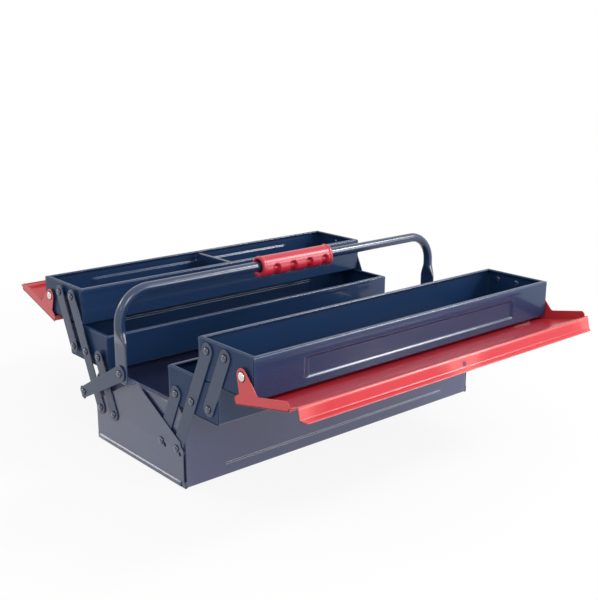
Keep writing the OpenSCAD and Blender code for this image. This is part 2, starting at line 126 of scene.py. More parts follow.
# Left-hand normals at the points, lengthened at a bend by one over the cosine of half its turn.
def normals2d(path, closed=False):
    d = np.diff(np.concatenate([path[-1:], path, path[:1]]) if closed else path, axis=0)
    d /= np.maximum(np.linalg.norm(d, axis=1), 1e-12)[:, None]
    n = np.stack([-d[:, 1], d[:, 0]], 1)
    before, after = (n[:-1], n[1:]) if closed else (np.concatenate([n[:1], n]), np.concatenate([n, n[-1:]]))
    mean = before + after
    return mean / np.maximum(np.sum(mean * mean, 1) / 2, 0.5)[:, None]


# A bent sheet in section: the path moved out by half the thickness on both sides,
# with a half circle round each free edge.
def sheetLoop(path, thick, edgeSteps=4):
    n = normals2d(path)
    h = thick / 2
    t = np.linspace(0, math.pi, edgeSteps + 2)[1:-1, None]
    ahead, back = unit(path[-1] - path[-2]), unit(path[0] - path[1])
    tip = path[-1] + h * (np.cos(t) * n[-1] + np.sin(t) * ahead)
    tail = path[0] + h * (-np.cos(t) * n[0] + np.sin(t) * back)
    return np.concatenate([path + h * n, tip, (path - h * n)[::-1], tail])


def arcPoints(centre, r, start, stop, steps):  # angles in degrees
    a = np.radians(np.linspace(start, stop, steps + 1))[:, None]
    return np.asarray(centre) + r * np.concatenate([np.cos(a), np.sin(a)], 1)


def stadiumOutline(a, b, r, steps=14):  # round the segment from a to b
    turn = math.degrees(math.atan2(*(b - a)[::-1]))
    return np.concatenate([
        arcPoints(b, r, turn - 90, turn + 90, steps), arcPoints(a, r, turn + 90, turn + 270, steps)
    ])


def turned2d(points, c, s):  # turned about the origin by the angle whose cosine and sine are given
    return np.stack([points[:, 0] * c - points[:, 1] * s, points[:, 0] * s + points[:, 1] * c], 1)


def smoothstep(lo, hi, v):
    t = np.clip((v - lo) / (hi - lo), 0, 1)
    return t * t * (3 - 2 * t)


def roundIn(r, d):  # how far a quarter circle of radius r has turned in at the distance d past its start
    d = np.clip(d, 0, r)
    return r - np.sqrt(r * r - d * d)


def bothSides(right, bends):  # the corners and bends of a section's right half, and their mirror images
    return right + [(-u, z) for u, z in reversed(right)], [*bends, *bends[::-1]]


def bothWays(*runs):  # the given distances from the middle, on both sides of it
    stations = np.concatenate(runs)
    return np.unique(np.concatenate([-stations, stations]))


# Quads between neighbouring points of a grid, closed along the rows or columns where asked.
def gridPart(points, loopRows=True, loopCols=False):
    rows, cols = points.shape[:2]
    i = np.arange(rows if loopRows else rows - 1)
    j = np.arange(cols if loopCols else cols - 1)
    i0, j0 = (v.ravel() for v in np.meshgrid(i, j, indexing="ij"))
    i1, j1 = (i0 + 1) % rows, (j0 + 1) % cols
    faces = np.stack([i0 * cols + j0, i1 * cols + j0, i1 * cols + j1, i0 * cols + j1], 1)
    return points.reshape(-1, 3), faces.tolist()


# Point grids that are closed along their rows: an outer one and its holes, with a flat cap over their first
# columns and another over their last.
def cappedPart(grids):
    cols = grids[0].shape[1]
    starts = np.cumsum([0] + [len(grid) * cols for grid in grids]).tolist()
    faces = [[v + start for v in f] for grid, start in zip(grids, starts) for f in gridPart(grid)[1]]
    for j in (0, cols - 1):
        index = [start + i * cols + j for grid, start in zip(grids, starts) for i in range(len(grid))]
        triangles = tessellate_polygon([[Vector(p) for p in grid[:, j]] for grid in grids])
        faces += [[index[k] for k in corners] for corners in triangles]
    return np.concatenate([grid.reshape(-1, 3) for grid in grids]), faces


# A closed section carried along X or outward along Y. Each point of the section stops at its
# own limit, so a limit that changes over the section gives a mitre, a clip or a notch.
def sweepPart(loop, along, limits, axis="x"):
    limits = np.broadcast_to(limits, len(loop))
    t = np.clip(along[None, :], -limits[:, None], limits[:, None])
    s0, s1 = loop[:, :1] + 0 * t, loop[:, 1:] + 0 * t
    return cappedPart([np.stack([t, s0, s1] if axis == "x" else [s0, t, s1], 2)])


holeShare = 0.4  # a hole's rim is rounded by this share of the sheet's own


# A flat sheet across X. Its outline is repeated inward from both faces, drawn in by edge*(1-sin a) at the
# depth edge*(1-cos a), which rounds its rim. The rim of a hole opens out by a share of that.
def platePart(outline, x0, x1, edge=0.35 * mm, steps=3, holes=()):
    a = np.linspace(0, math.pi / 2, steps + 1)
    depth = edge * (1 - np.cos(a))
    draw = edge * (1 - np.sin(a))
    xs = np.concatenate([x0 + depth, (x1 - depth)[::-1]])
    draws = np.concatenate([draw, draw[::-1]])
    grids = []
    for k, ring in enumerate([outline, *holes]):
        ring = np.asarray(ring, float)
        area = np.sum(ring[:, 0] * np.roll(ring[:, 1], -1) - ring[:, 1] * np.roll(ring[:, 0], -1))
        if (area > 0) != (k == 0):
            ring = ring[::-1]
        n = normals2d(ring, closed=True)
        flat = ring[:, None, :] + n[:, None, :] * draws[None, :, None] * (holeShare if k else 1)
        grids.append(np.concatenate([np.broadcast_to(xs[None, :, None], flat.shape[:2] + (1,)), flat], 2))
    return cappedPart(grids)


# A turned piece about an axis along X: its profile of (radius, x) goes once round.
def lathePart(centre, profile, segments=40):
    r, x = np.asarray(profile, float).T
    a = np.linspace(0, 2 * math.pi, segments, endpoint=False)
    points = np.stack([
        x[:, None] + 0 * a, centre[0] + r[:, None] * np.cos(a), centre[1] + r[:, None] * np.sin(a)
    ], 2)
    return gridPart(points, loopRows=False, loopCols=True)


def placed(part, side=1, end=1):  # mirrors a part that was made for the rear right quarter
    return (part[0] * np.array([end, side, 1.0]), *part[1:])


def shaded(part, first=0):  # its faces from the first given one take the painted shade of a narrow seam, a near-black finish
    return (*part, np.arange(len(part[1])) >= first)


def added(name, data):  # an object of the scene that shows the data
    obj = bpy.data.objects.new(name, data)
    bpy.context.scene.collection.objects.link(obj)
    return obj


weldReach = 0.002 * mm


# Mirrors closed parts to their quarter, joins them into one mesh with its faces outward and hangs it on its
# body. The finish is the one named by slotName unless another is named.
def piece(name, parts, body, nodes, slotName, finish=None, side=1, end=1):
    parts = [placed(p, side, end) for p in parts]
    verts = np.concatenate([p[0] for p in parts])
    start = np.cumsum([0] + [len(p[0]) for p in parts])
    faces = [[v + int(s) for v in f] for p, s in zip(parts, start) for f in p[1]]
    # Faces flagged by shaded() take the near-black seam_shade finish, a painted shade.
    dark = np.concatenate([p[2] if len(p) > 2 else np.zeros(len(p[1]), bool) for p in parts])
    mesh = bpy.data.meshes.new(name)
    mesh.from_pydata(verts.tolist(), [], faces)
    mesh.polygons.foreach_set("material_index", dark.astype(np.int32))
    bm = bmesh.new()
    bm.from_mesh(mesh)
    bmesh.ops.remove_doubles(bm, verts=bm.verts, dist=weldReach)
    bmesh.ops.dissolve_degenerate(bm, edges=bm.edges, dist=weldReach / 2)
    bmesh.ops.recalc_face_normals(bm, faces=bm.faces)
    bm.to_mesh(mesh)
    bm.free()
    mesh.shade_smooth()
    mesh.materials.append(finishes[finish or slotName])
    if dark.any():
        mesh.materials.append(finishes["seam_shade"])
    obj = added(name, mesh)
    obj.modifiers.new("even shading", "WEIGHTED_NORMAL").weight = 80
    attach(obj, body)
    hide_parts(*nodes)


def setInputs(node, values):
    for name, value in values.items():
        node.inputs[name].default_value = value


def ranged(tree, value, to=(0, 1), start=(0, 1), smooth=False):  # carried from the start range to the other
    node = tree.nodes.new("ShaderNodeMapRange")
    if smooth:
        node.interpolation_type = "SMOOTHSTEP"
    setInputs(node, dict(zip(("From Min", "From Max", "To Min", "To Max"), (*start, *to))))
    tree.links.new(value, node.inputs["Value"])
    return node.outputs["Result"]


def mixColour(tree, factor, a, b):
    mix = tree.nodes.new("ShaderNodeMix")
    mix.data_type = "RGBA"
    tree.links.new(factor, mix.inputs["Factor"])
    for socket, value in ((mix.inputs["A"], a), (mix.inputs["B"], b)):
        if isinstance(value, bpy.types.NodeSocket):
            tree.links.new(value, socket)
        else:
            socket.default_value = (*value, 1)
    return mix.outputs["Result"]


def noise(tree, where, look):
    node = tree.nodes.new("ShaderNodeTexNoise")
    tree.links.new(where, node.inputs["Vector"])
    setInputs(node, look)
    return node


sprayLook = {
    "grain": {"Detail": 1.5, "Roughness": 0.45}, "drift": {"Detail": 3},
    "speck": {"Scale": 2600, "Detail": 1},
    "grainFrom": (0.32, 0.68), "speckFrom": (0.66, 0.78), "edgeFrom": (0.505, 0.56),
}


# Sprayed enamel: fine rounded pimples as height, a slow drift of tone, masks of light specks and of edges,
# the edges standing for wear and for a painted highlight on bends.
def makePaintGroup():
    tree = bpy.data.node_groups.new("sprayedEnamel", "ShaderNodeTree")
    for name in ("Grain Scale", "Drift Scale"):
        tree.interface.new_socket(name=name, in_out="INPUT", socket_type="NodeSocketFloat")
    for name in ("Height", "Drift", "Edge", "Speck"):
        tree.interface.new_socket(name=name, in_out="OUTPUT", socket_type="NodeSocketFloat")
    source, sink = tree.nodes.new("NodeGroupInput"), tree.nodes.new("NodeGroupOutput")
    where = tree.nodes.new("ShaderNodeTexCoord").outputs["Object"]
    grain, drift, speck = (noise(tree, where, sprayLook[kind]) for kind in ("grain", "drift", "speck"))
    tree.links.new(source.outputs["Grain Scale"], grain.inputs["Scale"])
    tree.links.new(source.outputs["Drift Scale"], drift.inputs["Scale"])
    pointed = tree.nodes.new("ShaderNodeNewGeometry").outputs["Pointiness"]
    results = {
        "Height": ranged(tree, grain.outputs["Fac"], start=sprayLook["grainFrom"], smooth=True),
        "Drift": drift.outputs["Fac"],
        "Edge": ranged(tree, pointed, start=sprayLook["edgeFrom"]),
        "Speck": ranged(tree, speck.outputs["Fac"], start=sprayLook["speckFrom"]),
    }
    for name, value in results.items():
        tree.links.new(value, sink.inputs[name])
    return tree


# A material with the shared group's height as bump: the material, its shader and the group's outputs.
def grained(name, look):
    mat = bpy.data.materials.new(name)
    mat.use_nodes = True
    tree = mat.node_tree
    shader = tree.nodes["Principled BSDF"]
    spray = tree.nodes.new("ShaderNodeGroup")
    spray.node_tree = paintGroup
    setInputs(spray, {"Grain Scale": look["grainScale"], "Drift Scale": look["driftScale"]})
    bump = tree.nodes.new("ShaderNodeBump")
    setInputs(bump, {"Strength": look["grainStrength"], "Distance": look["grainHeight"]})
    tree.links.new(spray.outputs["Height"], bump.inputs["Height"])
    tree.links.new(bump.outputs["Normal"], shader.inputs["Normal"])
    return mat, shader, spray.outputs


# Sheet steel enamel: tone drift, light specks, edges lightened as wear and as painted highlight, orange peel
# under a clear coat.
def enamel(name, look):
    mat, shader, spray = grained(name, look)
    tree = mat.node_tree
    base, rough = np.array(look["colour"]), look["roughness"]
    tone = mixColour(tree, spray["Drift"], base * (1 - look["drift"]), base * (1 + look["drift"]))
    # Specks and edges are mixed toward edgeColour; the lightened edges are partly wear and partly a painted
    # highlight on the bends.
    for mask, share in (("Speck", look["speck"]), ("Edge", look["edgeWearAndHighlight"])):
        tone = mixColour(tree, ranged(tree, spray[mask], (0, share)), tone, look["edgeColour"])
    tree.links.new(tone, shader.inputs["Base Color"])
    roughRange = (rough - look["roughDrift"], rough + look["roughDrift"])
    tree.links.new(ranged(tree, spray["Drift"], roughRange), shader.inputs["Roughness"])
    setInputs(shader, {
        "Coat Weight": look["coat"], "Coat Roughness": look["coatRoughness"], "IOR": look["ior"]})
    return mat


# Plated steel: a fine grain as height, and a slow drift of tone and roughness.
def brightMetal(name, look):
    mat, shader, spray = grained(name, look)
    tree = mat.node_tree
    tone = mixColour(tree, spray["Drift"], np.array(look["colour"]) * look["dark"], look["colour"])
    tree.links.new(tone, shader.inputs["Base Color"])
    tree.links.new(ranged(tree, spray["Drift"], look["roughness"]), shader.inputs["Roughness"])
    setInputs(shader, {"Metallic": 1})
    return mat


# Each look's edge share draws its edges toward edgeColour, partly as wear and partly as a painted highlight.
sprayed = dict(drift=0.10, driftScale=9, roughDrift=0.05, speck=0.06, ior=1.5, coat=0.2, coatRoughness=0.12,
               grainScale=620, grainStrength=0.5, edgeColour=(0.12, 0.15, 0.24))
paintLooks = {
    "navy_base": dict(
        sprayed, colour=(0.032, 0.041, 0.115), roughness=0.38, coat=1.0, coatRoughness=0.15,
        grainHeight=0.1 * mm, grainStrength=0.9, edgeWearAndHighlight=0.25, edgeColour=(0.16, 0.19, 0.29)),
    "navy_tray": dict(
        sprayed, colour=(0.009, 0.030, 0.088), roughness=0.40, coat=0.65, ior=1.25, speck=0.1,
        grainHeight=0.09 * mm, grainStrength=0.9, edgeWearAndHighlight=0.15, edgeColour=(0.13, 0.17, 0.27)),
    "navy_arm": dict(
        sprayed, colour=(0.014, 0.030, 0.075), roughness=0.34, coatRoughness=0.15, ior=1.42,
        grainScale=700, grainHeight=0.07 * mm, grainStrength=0.8, edgeWearAndHighlight=0.35),
    "navy_rivet": dict(
        sprayed, colour=(0.016, 0.028, 0.070), roughness=0.16, coat=1.0, coatRoughness=0.08, grainScale=900,
        grainHeight=0.02 * mm, grainStrength=0.3, edgeWearAndHighlight=0.1, edgeColour=(0.15, 0.18, 0.26)),
    "navy_handle": dict(
        sprayed, colour=(0.012, 0.028, 0.080), roughness=0.26, coat=0.4, coatRoughness=0.1,
        grainScale=700, grainHeight=0.03 * mm, edgeWearAndHighlight=0.2),
    "red_enamel": dict(
        sprayed, drift=0.06, colour=(0.53, 0.020, 0.031), roughness=0.3, coat=0.45, ior=1.3,
        grainHeight=0.05 * mm, edgeWearAndHighlight=0.3, edgeColour=(0.88, 0.28, 0.25)),
    "red_plastic": dict(
        sprayed, drift=0.05, colour=(0.50, 0.016, 0.040), roughness=0.34, coatRoughness=0.25, grainScale=1500,
        grainHeight=0.03 * mm, edgeWearAndHighlight=0.1, edgeColour=(0.75, 0.12, 0.14)),
}
paintLooks["tray_end"] = dict(paintLooks["navy_tray"], coat=0.05, roughness=0.34)
# The end sheets and covers take a darker copy of the base paint with less coat: painted shade on the end
# faces.
paintLooks["base_end"] = dict(paintLooks["navy_base"], colour=(0.024, 0.034, 0.096), coat=0.7)
# Painted shade: a near-black paint for the narrow gaps at the trough's cut ends and under rivet heads, where
# shadow falls.
paintLooks["seam_shade"] = dict(paintLooks["navy_tray"], colour=(0.002, 0.004, 0.010), coat=0, roughness=0.8,
                                edgeWearAndHighlight=0, speck=0, ior=1.2)
nickelLook = dict(colour=(0.78, 0.74, 0.68), dark=0.8, roughness=(0.18, 0.30), driftScale=160,
                  grainScale=1500, grainHeight=0.02 * mm, grainStrength=0.25)
paintGroup = makePaintGroup()
finishes = {name: enamel(name, look) for name, look in paintLooks.items()}
finishes["nickel"] = brightMetal("nickel", nickelLook)
print("finishes made")


sheetReach = 1.2  # points this many thicknesses from a sheet's middle still count as on it
trayLook = lengths(
    sheet=0.9, rimWidth=4.6, rimOut=0.25, rimHeight=5, rimRun=3, rimLip=1.2, lipBend=0.9, edgeBend=1.7,
    wallBend=3, bottomBend=2.6, seam=0.04, panelDepth=1.8, panelFade=9, panelSlope=2.4, panelHeight=22,
    panelInset=67, panelDrop=1.9, rimClear=2,
    # lengths of the mesh's pieces, finer where the panel slopes and fades out and at an end sheet's foot
    step=6, panelStep=0.8, panelReach=16, fadeStep=0.9, fadeLead=1, fadeReach=(-14, 3),
    endPlaces=(20, 6, 0.4, 0), footStep=0.5, footReach=4,
)


# A section's low and high, its end's outer face, its middle and its half width.
def traySize(side, level, end="left"):
    lo, hi = nodeBox(f"{side}_{level}_shell")
    return lo[2], hi[2], nodeBox(f"{side}_{level}_end_{end}")[1][0], (lo[1] + hi[1]) / 2, (hi[1] - lo[1]) / 2


def inRim(loop, high):  # which points of a section are in the folded rim or its lip
    return loop[:, 1] > high - trayLook["rimLip"] - sheetReach * trayLook["sheet"]


# 1 inside the long panel and 0 outside, smooth over its slope's width and over a longer run at its ends.
def panelMask(x, z, panelEnd, panelZ):
    look = trayLook
    half = look["panelSlope"] / 2
    across = smoothstep(-half, half, np.abs(z - panelZ) - look["panelHeight"] / 2)
    return (1 - across) * (1 - smoothstep(-look["panelFade"], 0, np.abs(x) - panelEnd))


# Bottom and both long walls as one bent sheet carried along X, its rims mitred at the ends. The outer wall
# is pressed inward by depth*mask.
def trayTrough(side, level):
    look = trayLook
    low, high, halfL, centre, halfW = traySize(side, level)
    t = look["sheet"]
    top, bottom = high - t / 2, low + t / 2
    rim, wall = halfW - t / 2, halfW - look["rimOut"] - t / 2
    rimFoot = top - look["rimHeight"]
    panelZ, panelEnd = (low + high) / 2 - look["panelDrop"], halfL - look["panelInset"]
    right = [
        (rim - look["rimWidth"], top - look["rimLip"]), (rim - look["rimWidth"], top), (rim, top),
        (rim, rimFoot), (wall, rimFoot - look["rimRun"]), (wall, bottom),
    ]
    bends = [look["lipBend"], look["edgeBend"], look["wallBend"], look["wallBend"], look["bottomBend"]]

    def stepAt(p):
        nearPanel = abs(p[0] - wall) < t and abs(p[1] - panelZ) < look["panelReach"]
        return look["panelStep"] if nearPanel else look["step"]

    path = bentPath(*bothSides(right, bends))
    loop = sheetLoop(refined(path, stepAt), t)
    mitre = np.where(inRim(loop, high), np.maximum(halfW - np.abs(loop[:, 0]), 0), 0)
    first, last = look["fadeReach"]
    fade = np.arange(panelEnd + first, panelEnd + last, look["fadeStep"])
    along = bothWays(np.linspace(0, fade[0] - look["fadeLead"], 9), fade, halfL - np.array(look["endPlaces"]))
    verts, faces = sweepPart(loop, along, halfL - mitre)
    onWall = (np.abs(verts[:, 1] - wall) < sheetReach * t) & (verts[:, 2] < rimFoot - look["rimClear"])
    verts[:, 1] -= look["panelDepth"] * onWall * panelMask(verts[:, 0], verts[:, 2], panelEnd, panelZ)
    verts[:, 1] += centre
    # Its cut ends at the corners take the seam's painted shade.
    return shaded((verts, faces), len(loop) * (len(along) - 1))


# An end sheet with its folded rim, carried across the trough, with lower corners rounded like the trough's.
def trayEnd(side, level, end):
    look = trayLook
    low, high, halfL, centre, halfW = traySize(side, level, end)
    t = look["sheet"]
    top, face = high - t / 2, halfL - t / 2
    path = bentPath([
        (face - look["rimWidth"], top - look["rimLip"]), (face - look["rimWidth"], top), (face, top),
        (face, low + look["footReach"]), (face, low + t / 2),
    ], [look["lipBend"], look["edgeBend"], 0])
    path = refined(path, lambda p: look["footStep"] if p[1] < low + look["footReach"] else look["step"])
    loop = sheetLoop(path, t)
    rounded = roundIn(look["bottomBend"], look["bottomBend"] - (loop[:, 1] - low))
    reach = halfW - look["rimOut"] - t - look["seam"]
    limits = np.where(inRim(loop, high), halfW - (halfL - loop[:, 0]) - look["seam"] / 2, reach - rounded)
    verts, faces = sweepPart(loop, np.linspace(-halfW, halfW, 25), limits, axis="u")
    verts[:, 1] += centre
    return verts, faces


dividerLook = dict(lengths(sheet=0.9, fold=4.4, foldDrop=1.1, bends=(0.7, 0.8), step=5, rimReach=2),
                   rimShare=0.8)


# An upright sheet across the tray with a folded top, clear of the trough's rims and bottom bends.
def dividerPart():
    look = dividerLook
    lo, hi = nodeBox("rear_divider")
    t, half = look["sheet"], look["fold"] / 2
    top = hi[2] - t / 2
    stem = -half + t
    path = bentPath([(half, top - look["foldDrop"]), (half, top), (stem, top), (stem, lo[2])], look["bends"])
    loop = sheetLoop(refined(path - np.array([stem, 0]), lambda p: look["step"]), t)
    centre, reach = (lo[1] + hi[1]) / 2, (hi[1] - lo[1]) / 2
    r = trayLook["bottomBend"]
    underRim = np.where(loop[:, 1] > top - look["rimReach"], trayLook["rimWidth"] * look["rimShare"], 0)
    limits = reach - roundIn(r, r + t - (loop[:, 1] - lo[2])) - underRim
    verts, faces = sweepPart(loop, np.linspace(-reach, reach, 9), limits, axis="u")
    verts[:, 1] += centre
    return verts, faces


for side, sign in sides.items():
    for level in ("mid", "top"):
        body = f"{side}_{level}_tray"
        piece(f"{side}{level.title()}Trough", [trayTrough(side, level)], body, [f"{side}_{level}_shell"],
              "navy_tray", side=sign)
        for end, endSign in ends.items():
            piece(f"{side}{level.title()}End{end.title()}", [trayEnd(side, level, end)], body,
                  [f"{side}_{level}_end_{end}"], "navy_tray", "tray_end", sign, endSign)
piece("rearTrayDivider", [dividerPart()], "rear_top_tray", ["rear_divider"], "navy_tray")
print("trays made")


baseLook = lengths(
    sheet=1.0, flange=8, flangeDrop=5, bend=1.0, bottomBend=1.6, beadZ=15, beadInset=55.6, beadWidth=2.8,
    beadHeight=1.6, notchX=13, notchZ=12, notchCut=0.04, clipU=12, clipZ=14,
    # lengths of the mesh's pieces, finer at the bead and at the clipped corners
    step=9, beadStep=0.35, beadReach=4, beadEndStep=0.5, beadEndReach=(-7, 3), endStep=12, clipStep=2,
)


# 1 along the bead and 0 off it: a smooth step of the distance from a lying stadium.
def beadMask(x, z, beadEnd):
    look = baseLook
    r, half = look["beadWidth"] / 4, look["beadWidth"] / 2
    away = np.hypot(np.maximum(np.abs(x) - (beadEnd - r), 0), z - look["beadZ"]) - r
    return 1 - smoothstep(-half, half, away)


# Bottom, long walls and flanges as one bent sheet. Above the notch it stops short of the ends. Both walls
# bulge outward by height*mask.
def baseTroughPart():
    look = baseLook
    t, top = look["sheet"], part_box("base_trough")[1][2] - look["sheet"] / 2
    endFace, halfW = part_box("base_end_right")[1][:2]
    wall, lip = halfW - t / 2, halfW - look["flange"] + t / 2
    notch = top + t / 2 - look["notchZ"]
    right = [
        (lip, top - look["flangeDrop"]), (lip, top), (wall, top), (wall, notch + look["notchCut"]),
        (wall, notch - look["notchCut"]), (wall, look["beadZ"] + look["beadReach"]),
        (wall, look["beadZ"] - look["beadReach"]), (wall, t / 2),
    ]
    bends = [look["bend"], look["bend"], 0, 0, 0, 0, look["bottomBend"]]

    def stepAt(p):
        nearBead = abs(p[0]) > wall - t and abs(p[1] - look["beadZ"]) < look["beadReach"]
        return look["beadStep"] if nearBead else look["step"]

    path = bentPath(*bothSides(right, bends))
    loop = sheetLoop(refined(path, stepAt), t)
    beadEnd, notchX = endFace - look["beadInset"], endFace - look["notchX"]
    first, last = look["beadEndReach"]
    fade = np.arange(beadEnd + first, beadEnd + last, look["beadEndStep"])
    along = bothWays(np.linspace(0, fade[0] - 2 * look["beadEndStep"], 9), fade,
                     [notchX, endFace - 2 * t, endFace - t])
    verts, faces = sweepPart(loop, along, np.where(loop[:, 1] > notch, notchX, endFace - t))
    onWall = np.abs(np.abs(verts[:, 1]) - wall) < sheetReach * t
    mask = beadMask(verts[:, 0], verts[:, 2], beadEnd)
    verts[:, 1] += np.sign(verts[:, 1]) * look["beadHeight"] * mask * onWall
    return verts, faces


# An end sheet with its flange, whose upper corners are clipped in a straight slope.
def baseEndPart(end):
    look = baseLook
    lo, hi = nodeBox(f"base_end_{end}")
    t = look["sheet"]
    face, top, clipFoot = hi[0] - t / 2, hi[2] - t / 2, hi[2] - look["clipZ"]
    path = bentPath([(hi[0] - look["flange"], top), (face, top), (face, clipFoot), (face, t / 2)],
                    [look["bend"], 0])
    loop = sheetLoop(refined(path, lambda p: look["clipStep"] if p[1] > clipFoot else look["endStep"]), t)
    clip = np.clip((loop[:, 1] - clipFoot) / look["clipZ"], 0, 1) * look["clipU"]
    return sweepPart(loop, np.linspace(-hi[1], hi[1], 17), hi[1] - clip, axis="u")


coverLook = lengths(
    inset=6, sideZ=56, neckZ=51.5, lowInset=1.2, lowZ=47.5, gableU=14, gableZ=98, tabU=6, tabSheet=1.2,
    tabRound=0.4, rounds=(2, 8, 3, 1.5, 3, 0.3),  # of one side's corners, downward
    edge=0.4, play=0.3, plateFoot=5, foot=9, railBack=0.6, railInset=7, railLift=1.6, railTop=8, railOut=1.5,
    railRound=1.1, railChamferRound=0.4, railRoot=1,
    holes=(((-61, 43.4), 2.7), ((-92.3, 41.4), 2.5), ((61, 43.4), 2.7), ((92.3, 41.4), 2.5)),
)


# The gabled plate with its holes, the foot rail with the raised rim on it, and the tab at the top.
def coverParts(end):
    look = coverLook
    lo, hi = nodeBox(f"cover_{end}")
    endFace, width = nodeBox(f"base_end_{end}")[1][:2]
    x0 = nodeBox(f"{coveredSides[end]}_long_arm_{end}")[1][0] + look["play"]
    x1 = x0 + baseLook["sheet"]
    half, low = hi[1] - look["inset"], hi[1] - look["lowInset"]
    right = [
        (look["tabU"], hi[2]), (look["gableU"], look["gableZ"]), (half, look["sideZ"]), (half, look["neckZ"]),
        (low, look["lowZ"]), (low, look["plateFoot"]),
    ]
    outline = roundedLoop(*bothSides(right, look["rounds"]))
    holes = [arcPoints(c, r, 0, 342, 19) for c, r in look["holes"]]
    railX, rimX, r = x1 - look["railBack"], x1 + look["railOut"], look["railRound"]
    rail = roundedLoop([(endFace, 0), (railX, 0), (railX, look["foot"]), (endFace, look["foot"])],
                       [0, r, r, 0], 4)
    root, chamferRound = endFace + look["railRoot"], look["railChamferRound"]
    rim = roundedLoop([
        (root, look["railLift"]), (rimX, look["railLift"]), (rimX, look["railTop"] - look["railOut"]),
        (x1, look["railTop"]), (root, look["railTop"]),
    ], [0, r, chamferRound, chamferRound, 0])
    tabLow, r = hi[2] - look["tabSheet"], look["tabRound"]
    tab = roundedLoop([(x0, tabLow), (hi[0], tabLow), (hi[0], hi[2]), (x0, hi[2])], [0, r, r, 0], 3)
    across = np.linspace(-width, width, 9)
    return [
        platePart(outline, x0, x1, look["edge"], holes=holes), sweepPart(rail, across, width, axis="u"),
        sweepPart(rim, across, width - look["railInset"], axis="u"),
        sweepPart(tab, np.linspace(-look["tabU"], look["tabU"], 5), look["tabU"], axis="u"),
    ]


piece("baseTrough", [baseTroughPart()], "base", ["base_trough"], "navy_base")
for end, endSign in ends.items():
    piece(f"baseEnd{end.title()}", [baseEndPart(end)], "base", [f"base_end_{end}"], "navy_base", "base_end",
          end=endSign)
    piece(f"endCover{end.title()}", coverParts(end), "base", [f"cover_{end}"], "navy_base", "base_end",
          end=endSign)
print("base made")


armLook = lengths(width=18, edge=0.45)
across = np.array([pivot("rear_fold")[0] - pivot("rear_low_arms")[0], 0])  # between the arms of a pair
armEnds = {
    "long": (pivot("rear_fold"), pivot("rear_top_tray")),
    "low": (pivot("rear_low_arms"), pivot("rear_mid_tray") - across),
    "high": (pivot("rear_high_arms"), pivot("rear_top_tray") + across),
}
for side, sign in sides.items():
    for kind, (a, b) in armEnds.items():
        for end, endSign in ends.items():
            node = f"{side}_{kind}_arm_{end}"
            lo, hi = nodeBox(node)
            part = platePart(stadiumOutline(a, b, armLook["width"] / 2), lo[0], hi[0], armLook["edge"])
            piece(f"{side}{kind.title()}Arm{end.title()}", [part], f"{side}_{kind}_arms", [node], "navy_arm",
                  side=sign, end=endSign)

linkLook = lengths(width=20, toe=8, toeWidth=10, clip=2, toeRound=1.2, edge=0.5)
legLook = lengths(pivot=119, flat=154, taper=20, thick=2.6)  # of the handle
legPivot = np.array([0, legLook["pivot"]])


# A bar with a round upper end and a clipped lower end, made upright and turned about the lower pivot.
def linkPart(node):
    look = linkLook
    lo, hi = nodeBox(node)
    low = pivot("rear_link")
    run = legPivot - low
    length = np.linalg.norm(run)
    w, toe = look["width"] / 2, look["toeWidth"] / 2
    foot = roundedLoop([(-w, -look["clip"]), (-toe, -look["toe"]), (toe, -look["toe"]), (w, -look["clip"])],
                       [look["toeRound"]] * 4, 4)
    outline = np.concatenate([arcPoints((0, length), w, 0, 180, 16), foot[1:]])
    return platePart(turned2d(outline, run[1] / length, -run[0] / length) + low, lo[0], hi[0], look["edge"])


for end, endSign in ends.items():
    side = linkSides[end]
    piece(f"{side}Link", [linkPart(f"link_{end}")], f"{side}_link", [f"link_{end}"], "navy_arm",
          side=sides[side], end=endSign)
print("arms made")


# ring, ringIn and ringHeight size the ring of painted shade under each outer head.
rivetLook = dict(lengths(
    shank=2.45, head=8.2, headHeight=2.8, tail=1.2, spacer=4.5, lidHead=10.2, lidHeadHeight=3, lidSpacer=5,
    headGap=0.05, play=0.1, ring=0.7, ringIn=0.5, ringHeight=0.15,
    legTail=((0, -1.2), (2.8, -1.2), (3.8, -0.6), (3.8, 0)),
), tailCrown=0.7, domeRim=0.14)
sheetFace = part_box("base_end_right")[1][0]
inFace = sheetFace - baseLook["sheet"]


# An outer head's profile from its rim at x: a short wall, then a quarter ellipse to the crown.
def domed(head, x, h=rivetLook["headHeight"]):
    r, rim = head / 2, rivetLook["domeRim"]
    a = np.linspace(0, math.pi / 2, 9)
    return [(r, x)] + [(r * math.cos(t), x + rim * h + (1 - rim) * h * math.sin(t)) for t in a]


# A thin ring under a head's rim in the near-black seam finish: painted shade for the narrow shadowed gap
# round it.
def headRing(centre, x, head):
    inner, outer, h = head / 2 - rivetLook["ringIn"], head / 2 + rivetLook["ring"], rivetLook["ringHeight"]
    return shaded(lathePart(centre, [(inner, x), (outer, x), (outer, x + h), (inner, x + h)]))


# Inner head, shank, a spacer of (radius, from, to) where there is one, the domed outer head and its ring of
# painted shade.
def rivetParts(centre, headAt, spacer=None, head=rivetLook["head"], height=rivetLook["headHeight"]):
    look = rivetLook
    r, half, tailEnd = look["shank"], look["head"] / 2, inFace - look["tail"]
    profile = [(0, tailEnd), (look["tailCrown"] * half, tailEnd), (half, (inFace + tailEnd) / 2),
               (half, inFace), (r, inFace)]
    if spacer:
        radius, a, b = spacer
        profile += [(r, a), (radius, a), (radius, b), (r, b)]
    profile += [(r, headAt)] + domed(head, headAt, height)
    return [lathePart(centre, profile), headRing(centre, headAt, head)]


